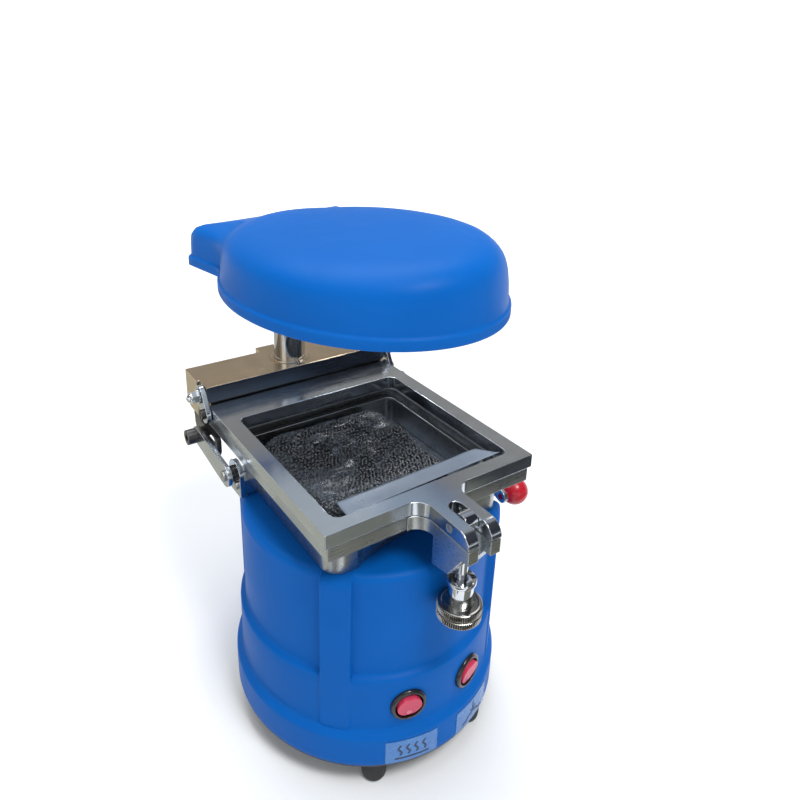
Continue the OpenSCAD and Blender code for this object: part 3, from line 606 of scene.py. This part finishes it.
def bag():
    cx, cy, hx, hy = bag_edge(0)
    # closed envelope of film: a grid for the top, a flatter one underneath
    nu, nv = 72, 76
    verts, faces = [], []
    idx = {}
    for side in (0, 1):
        for i in range(nu + 1):
            for j in range(nv + 1):
                if side and (i in (0, nu) or j in (0, nv)):
                    idx[(1, i, j)] = idx[(0, i, j)]
                    continue
                a, b = -1 + 2 * i / nu, -1 + 2 * j / nv
                # pull the square towards a rounded one
                k = 1 - 0.12 * (a * a) * (b * b)
                wav = 0.6 * noise.noise(Vector((a * 2.3 + 7, b * 2.1, 0.5)))
                x, y = cx + a * k * (hx + wav), cy + b * k * (hy + wav)
                if side == 0:
                    e = max(abs(a), abs(b))
                    z = bag_height(x, y) + 0.75
                    wr = 0.55 * noise.noise(Vector((x * 0.10, y * 0.26, 9.0))) + 0.3 * noise.noise(Vector((x * 0.33, y * 0.2, 4.0)))
                    z += wr * (1 - e ** 6)
                    if e > 0.999:
                        z = 157.0 + 0.5 * noise.noise(Vector((x * 0.1, y * 0.1, 2)))
                else:
                    z = 154.1
                idx[(side, i, j)] = len(verts)
                verts.append((x / 1000, y / 1000, z / 1000))
    for side in (0, 1):
        for i in range(nu):
            for j in range(nv):
                q = [idx[(side, i, j)], idx[(side, i + 1, j)], idx[(side, i + 1, j + 1)], idx[(side, i, j + 1)]]
                faces.append(tuple(q if side == 0 else q[::-1]))
    env = add("bag_skin", verts, faces, M_FILM, "base", node="bead_bag")

    # dark bed under the top layer of beads
    verts, faces = [], []
    n1, n2 = 40, 44
    for i in range(n1 + 1):
        for j in range(n2 + 1):
            a, b = -1 + 2 * i / n1, -1 + 2 * j / n2
            k = 1 - 0.12 * (a * a) * (b * b)
            x, y = cx + a * k * (hx - 1.4), cy + b * k * (hy - 1.4)
            verts.append((x / 1000, y / 1000, (bag_height(x, y) - 1.1) / 1000 if max(abs(a), abs(b)) < 0.999 else 0.1556))
    for i in range(n1):
        for j in range(n2):
            q = i * (n2 + 1) + j
            faces.append((q, q + n2 + 1, q + n2 + 2, q + 1))
    add("bag_bed", verts, faces, M_CORE, "base")

    # top layer of beads: low domes in a loosely packed hexagonal pattern
    dome = [(0.0, 0.0, 1.0)]
    for r, m in ((0.52, 6), (0.97, 8)):
        for k in range(m):
            t = 2 * math.pi * k / m
            dome.append((r * math.cos(t), r * math.sin(t), math.sqrt(max(0.0, 1 - r * r))))
    df = [(0, 1 + k, 1 + (k + 1) % 6) for k in range(6)]
    ring1, ring2 = list(range(1, 7)), list(range(7, 15))
    # between the 6-ring and the 8-ring
    i1 = i2 = 0
    while i1 < 6 or i2 < 8:
        if i2 * 6 <= i1 * 8:
            df.append((ring1[i1 % 6], ring2[i2 % 8], ring2[(i2 + 1) % 8]))
            i2 += 1
        else:
            df.append((ring1[i1 % 6], ring2[i2 % 8], ring1[(i1 + 1) % 6]))
            i1 += 1
    verts, faces = [], []
    sp, r0 = 2.35, 1.04
    row, y = 0, cy - hy + 2
    while y < cy + hy - 2:
        x = cx - hx + 2 + (row % 2) * sp / 2
        while x < cx + hx - 2:
            a, b = (x - cx) / hx, (y - cy) / hy
            if (abs(a) ** 6 + abs(b) ** 6) < 0.80:
                xx, yy = x + rnd.uniform(-0.62, 0.62), y + rnd.uniform(-0.62, 0.62)
                size = r0 * rnd.uniform(0.88, 1.04)
                z = bag_height(xx, yy) - 0.55 + rnd.uniform(-0.35, 0.20)
                base = len(verts)
                for d in dome:
                    verts.append(((xx + d[0] * size) / 1000, (yy + d[1] * size) / 1000, (z + d[2] * size) / 1000))
                faces.extend(tuple(base + q for q in f) for f in df)
            x += sp
        row += 1
        y += sp * 0.866
    add("bag_beads", verts, faces, M_BEAD, "base")

    # flat header of the bag, lying over the front edge of the well
    verts, faces = [], []
    m1, m2, th = 60, 10, 0.35
    back_l, back_r = (-46.5, -41.0, 178.0), (50.0, -39.5, 178.2)
    front_l, front_r = (-49.6, -56.8, 181.2), (55.6, -53.6, 181.4)
    for lay in (0, 1):
        for i in range(m1 + 1):
            for j in range(m2 + 1):
                u, v = i / m1, j / m2
                p = [(1 - u) * ((1 - v) * back_l[k] + v * front_l[k]) + u * ((1 - v) * back_r[k] + v * front_r[k]) for k in range(3)]
                p[2] += 0.35 * noise.noise(Vector((u * 6, v * 1.5, 1.0))) * (1 - 0.7 * v) - 0.5 * math.sin(math.pi * v) * 0.6
                p[1] += 0.5 * noise.noise(Vector((u * 5, 4.0, 2.0))) * (1 - v)
                if v > 0.93:
                    p[2] += 0.22
                verts.append((p[0] / 1000, p[1] / 1000, (p[2] - lay * th) / 1000))
    k0 = (m1 + 1) * (m2 + 1)

    def q(l, i, j):
        return l * k0 + i * (m2 + 1) + j

    for i in range(m1):
        for j in range(m2):
            faces.append((q(0, i, j), q(0, i, j + 1), q(0, i + 1, j + 1), q(0, i + 1, j)))
            faces.append((q(1, i, j), q(1, i + 1, j), q(1, i + 1, j + 1), q(1, i, j + 1)))
    for i in range(m1):
        for j in (0, m2):
            f = (q(0, i, j), q(0, i + 1, j), q(1, i + 1, j), q(1, i, j))
            faces.append(f if j == 0 else f[::-1])
    for j in range(m2):
        for i in (0, m1):
            f = (q(0, i, j), q(1, i, j), q(1, i, j + 1), q(0, i, j + 1))
            faces.append(f if i == 0 else f[::-1])
    add("bag_header", verts, faces, M_STRIP, "base")

    # neck of film that rises from the beads to the header
    verts, faces = [], []
    m1, m2 = 56, 14
    for i in range(m1 + 1):
        u = i / m1
        for j in range(m2 + 1):
            v = j / m2
            x = -47.5 + u * 86.0
            y = -27.0 - 14.2 * v - 1.2 * math.sin(math.pi * v)
            z0 = bag_height(x, -27.0) + 0.3
            z = z0 + (177.7 - z0) * (v ** 2.1)
            z += 0.9 * noise.noise(Vector((u * 9, v * 2.5, 6.0))) * math.sin(math.pi * min(1, v * 1.05))
            verts.append((x / 1000, y / 1000, z / 1000))
    for i in range(m1):
        for j in range(m2):
            q0 = i * (m2 + 1) + j
            faces.append((q0, q0 + m2 + 1, q0 + m2 + 2, q0 + 1))
    add("bag_neck", verts, faces, M_FILM, "base")


bag()

# ------------------------------------------------------------------ switch marks and label pictograms


def on_band(az_deg, r, u, z):
    """Point on a cylinder about the housing axis, u in mm along the arc from az_deg."""
    a = math.radians(az_deg) + u / r
    return (r * math.sin(a) / 1000, -r * math.cos(a) / 1000, z / 1000)


def ribbon(name, paths, az, r, w, z0, mat, body, t=0.12):
    """Flat strokes, each a list of (u, z) points, printed on the cylinder."""
    verts, faces = [], []
    for path in paths:
        pts = [Vector(p) for p in path]
        base = len(verts)
        for i, p in enumerate(pts):
            d = (pts[min(i + 1, len(pts) - 1)] - pts[max(i - 1, 0)]).normalized()
            nrm = Vector((-d.y, d.x)) * (w / 2)
            for s in (1, -1):
                for rr in (r + t, r - 0.05):
                    verts.append(on_band(az, rr, p.x + s * nrm.x, z0 + p.y + s * nrm.y))
        for i in range(len(pts) - 1):
            a, b = base + 4 * i, base + 4 * (i + 1)
            faces += [(a, b, b + 2, a + 2), (a + 2, b + 2, b + 3, a + 3), (a + 3, b + 3, b + 1, a + 1), (a + 1, b + 1, b, a)]
        a = base
        faces.append((a, a + 2, a + 3, a + 1))
        a = base + 4 * (len(pts) - 1)
        faces.append((a, a + 1, a + 3, a + 2))
    return add(name, verts, faces, mat, body, smooth=False)


waves = []
for u0 in (-7.5, -2.5, 2.5, 7.5):
    waves.append([(u0 + 1.0 * math.sin(t * 0.95), t) for t in np.linspace(0, 7.2, 26)])
waves.append([(u, -2.4) for u in np.linspace(-10.5, 10.5, 16)])
ribbon("pictogram_heat", waves, -13.9, 84.62, 1.05, 23.2, M_INK, "base")

tray = [[(0, 8.4), (0, 1.6)], [(-2.6, 4.0), (0, 1.3), (2.6, 4.0)],
        [(-10.5, -2.6), (-6.8, -2.6), (-6.0, -1.6)] + [(-6.0 * math.cos(t), -1.6 + 2.2 * math.sin(t)) for t in np.linspace(0.15, math.pi - 0.15, 18)] + [(6.0, -1.6), (6.8, -2.6), (10.5, -2.6)]]
ribbon("pictogram_form", tray, 18.0, 84.62, 1.05, 23.2, M_INK, "base")


def off_mark(name, s, body):
    """Small ring on the lower half of a round rocker."""
    a = math.radians(s * SWITCH_AZ)
    out = Vector((math.sin(a), -math.cos(a), 0))
    side = Vector((math.cos(a), math.sin(a), 0))
    tilt = math.atan2(1.3, 5.9)
    up = (Vector((0, 0, 1)) * math.cos(tilt) + out * math.sin(tilt)).normalized()
    nrm = (out * math.cos(tilt) - Vector((0, 0, 1)) * math.sin(tilt)).normalized()
    c = out * 82.22 + Vector((0, 0, SWITCH_Z - 4.1))
    verts, faces, n = [], [], 28
    for k in range(n):
        t = 2 * math.pi * k / n
        for r, h in ((1.28, -0.1), (1.28, 0.05), (0.82, 0.05), (0.82, -0.1)):
            p = c + (side * math.cos(t) + up * math.sin(t)) * r + nrm * h
            verts.append(p / 1000)
    for k in range(n):
        for j in range(4):
            faces.append((4 * k + j, 4 * ((k + 1) % n) + j, 4 * ((k + 1) % n) + (j + 1) % 4, 4 * k + (j + 1) % 4))
    add(name, verts, faces, M_MARK, body, smooth=False)


off_mark("off_mark_left", -1, "switch_heating")
off_mark("off_mark_right", 1, "switch_molding")

# ------------------------------------------------------------------ stage, lights, camera


def stage_mat(name, col, rough=0.6, glow=0.0, lift=0.0, far=0.0):
    m = bpy.data.materials.new(name)
    m.use_nodes = True
    b = m.node_tree.nodes["Principled BSDF"]
    b.inputs["Base Color"].default_value = (*(col if glow == 0 else (0, 0, 0)), 1)
    b.inputs["Roughness"].default_value = rough
    b.inputs["Specular IOR Level"].default_value = 0.0 if glow else 0.2
    if glow or lift:
        b.inputs["Emission Color"].default_value = (*col, 1)
        b.inputs["Emission Strength"].default_value = glow or lift
    if far:
        # brighter with distance, so that the sheet stays evenly pale
        t = m.node_tree
        co = t.nodes.new("ShaderNodeTexCoord").outputs["Object"]
        ln = t.nodes.new("ShaderNodeVectorMath")
        ln.operation = "LENGTH"
        t.links.new(co, ln.inputs[0])
        mr = t.nodes.new("ShaderNodeMapRange")
        for k, v in (("From Min", 0.5), ("From Max", 2.3), ("To Min", lift), ("To Max", far)):
            mr.inputs[k].default_value = v
        t.links.new(ln.outputs["Value"], mr.inputs["Value"])
        t.links.new(mr.outputs["Result"], b.inputs["Emission Strength"])
    return m


def stage_sheet(name, verts, faces, mat, reflect_only=False):
    me = bpy.data.meshes.new(name)
    me.from_pydata([tuple(v) for v in verts], [], faces)
    me.shade_smooth()
    o = bpy.data.objects.new(name, me)
    scene.collection.objects.link(o)
    me.materials.append(mat)
    if reflect_only:
        o.visible_camera = o.visible_diffuse = o.visible_shadow = o.visible_transmission = False
    return o


AZ = math.radians(33.04)
AWAY = Vector((math.sin(AZ), math.cos(AZ), 0))      # from the camera, over the object, to the back
RIGHT = Vector((math.cos(AZ), -math.sin(AZ), 0))


def sheet_of_rings(prof, n=96):
    verts, faces = [], []
    for r, z in prof:
        for k in range(n):
            a = 2 * math.pi * k / n
            verts.append((r * math.cos(a), r * math.sin(a), z - 0.0002))
    if prof[0][0] < 0.6:
        faces.append(tuple(range(n)))
    for i in range(len(prof) - 1):
        for k in range(n):
            a, b = i * n, (i + 1) * n
            faces.append((a + k, b + k, b + (k + 1) % n, a + (k + 1) % n))
    return verts, faces


# plain round floor, and a lit backdrop that rises far behind it
stage_sheet("floor_sheet", *sheet_of_rings([(0.5, 0), (1.2, 0), (2.4, 0)]), stage_mat("floor_pale", (0.80, 0.81, 0.82), lift=0.04, far=0.95))
stage_sheet("backdrop", *sheet_of_rings([(2.4, 0), (3.4, 0), (4.6, 0.02), (5.8, 0.12), (6.8, 0.38), (7.5, 0.95), (8.0, 2.2)]),
            stage_mat("backdrop_pale", (0.80, 0.81, 0.82), lift=1.0))


def card(name, az, lo, hi, width, dist, col, seg=12):
    """Reflection-only strip at a distance, az from the viewing direction, between two elevations."""
    verts, faces = [], []
    c = Vector((0, 0, 0.15))
    for i in range(seg + 1):
        a = math.radians(az - width / 2 + width * i / seg)
        d = AWAY * math.cos(a) + RIGHT * math.sin(a)
        for e in (lo, hi):
            er = math.radians(e)
            verts.append(c + (d * math.cos(er) + Vector((0, 0, 1)) * math.sin(er)) * dist)
    for i in range(seg):
        faces.append((2 * i, 2 * i + 2, 2 * i + 3, 2 * i + 1))
    stage_sheet(name, verts, faces, stage_mat(name + "_tone", col, glow=1.0), True)


card("card_back", 0, 5, 46, 150, 3.0, (0.30, 0.29, 0.275))
card("card_front_right", 105, -2, 60, 70, 2.6, (0.03, 0.033, 0.045))
card("card_left", -95, 4, 60, 36, 2.4, (0.23, 0.205, 0.17))


def patch(name, x0, y0, x1, y1, z, col):
    stage_sheet(name, [(x0, y0, z), (x1, y0, z), (x1, y1, z), (x0, y1, z)], [(0, 1, 2, 3)], stage_mat(name + "_tone", col, glow=1.0), True)


patch("floor_dark", 0.21, -1.3, 1.4, -0.16, 0.0, (0.045, 0.05, 0.055))
patch("floor_mid", -0.02, -1.3, 0.21, -0.16, 0.0, (0.22, 0.225, 0.19))
patch("floor_olive", -1.6, -0.10, -0.12, 1.2, 0.0, (0.50, 0.50, 0.42))
patch("floor_front_left", -1.6, -1.6, -0.13, -0.12, 0.0, (0.24, 0.245, 0.235))
patch("under_hood_left", -0.070, -0.072, 0.022, 0.096, 0.2635, (0.50, 0.54, 0.58))
patch("under_hood_right", 0.022, -0.072, 0.072, 0.080, 0.2635, (0.33, 0.40, 0.49))
patch("under_hood_spot", 0.040, 0.082, 0.072, 0.104, 0.2634, (15.0, 15.5, 16.0))

world = bpy.data.worlds.new("studio")
scene.world = world
world.use_nodes = True
bg = world.node_tree.nodes["Background"]
bg.inputs[0].default_value = (0.90, 0.94, 1.0, 1)
bg.inputs[1].default_value = 0.34


def area(name, loc, target, size, power, col=(1, 1, 1), size_y=None):
    li = bpy.data.lights.new(name, "AREA")
    li.energy = power
    li.color = col
    li.shape = "RECTANGLE"
    li.size = size
    li.size_y = size_y or size
    o = bpy.data.objects.new(name, li)
    o.location = loc
    o.rotation_mode = "QUATERNION"
    o.rotation_quaternion = (Vector(target) - Vector(loc)).to_track_quat("-Z", "Y")
    scene.collection.objects.link(o)
    return o


area("key", (0.12, -0.98, 1.92), (0, 0, 0.15), 0.6, 27)
area("fill_left", (-1.5, -0.5, 0.9), (0, 0, 0.15), 0.8, 2, size_y=1.0)
area("top", (-0.1, 0.3, 2.0), (0, 0, 0.1), 1.4, 18)
area("floor_wash", (0.8, 1.6, 2.4), (0.8, 1.9, 0), 2.0, 45)

el, roll = math.radians(20.88), math.radians(0.86)
az = -AZ
back = Vector((math.sin(az) * math.cos(el), -math.cos(az) * math.cos(el), math.sin(el)))
xr = Vector((math.cos(az), math.sin(az), 0))
yu = back.cross(xr)
x2 = math.cos(roll) * xr + math.sin(roll) * yu
y2 = -math.sin(roll) * xr + math.cos(roll) * yu
cam_data = bpy.data.cameras.new("camera")
cam = bpy.data.objects.new("camera", cam_data)
scene.collection.objects.link(cam)
cam.matrix_world = Matrix(((x2.x, y2.x, back.x, -0.2012), (x2.y, y2.y, back.y, -0.3019), (x2.z, y2.z, back.z, 0.3990), (0, 0, 0, 1)))
cam_data.sensor_width = 36.0
cam_data.lens = 696.88 / 800 * 36.0
cam_data.shift_x = 0.0459
cam_data.shift_y = -0.1087
cam_data.clip_start, cam_data.clip_end = 0.01, 50
scene.camera = cam
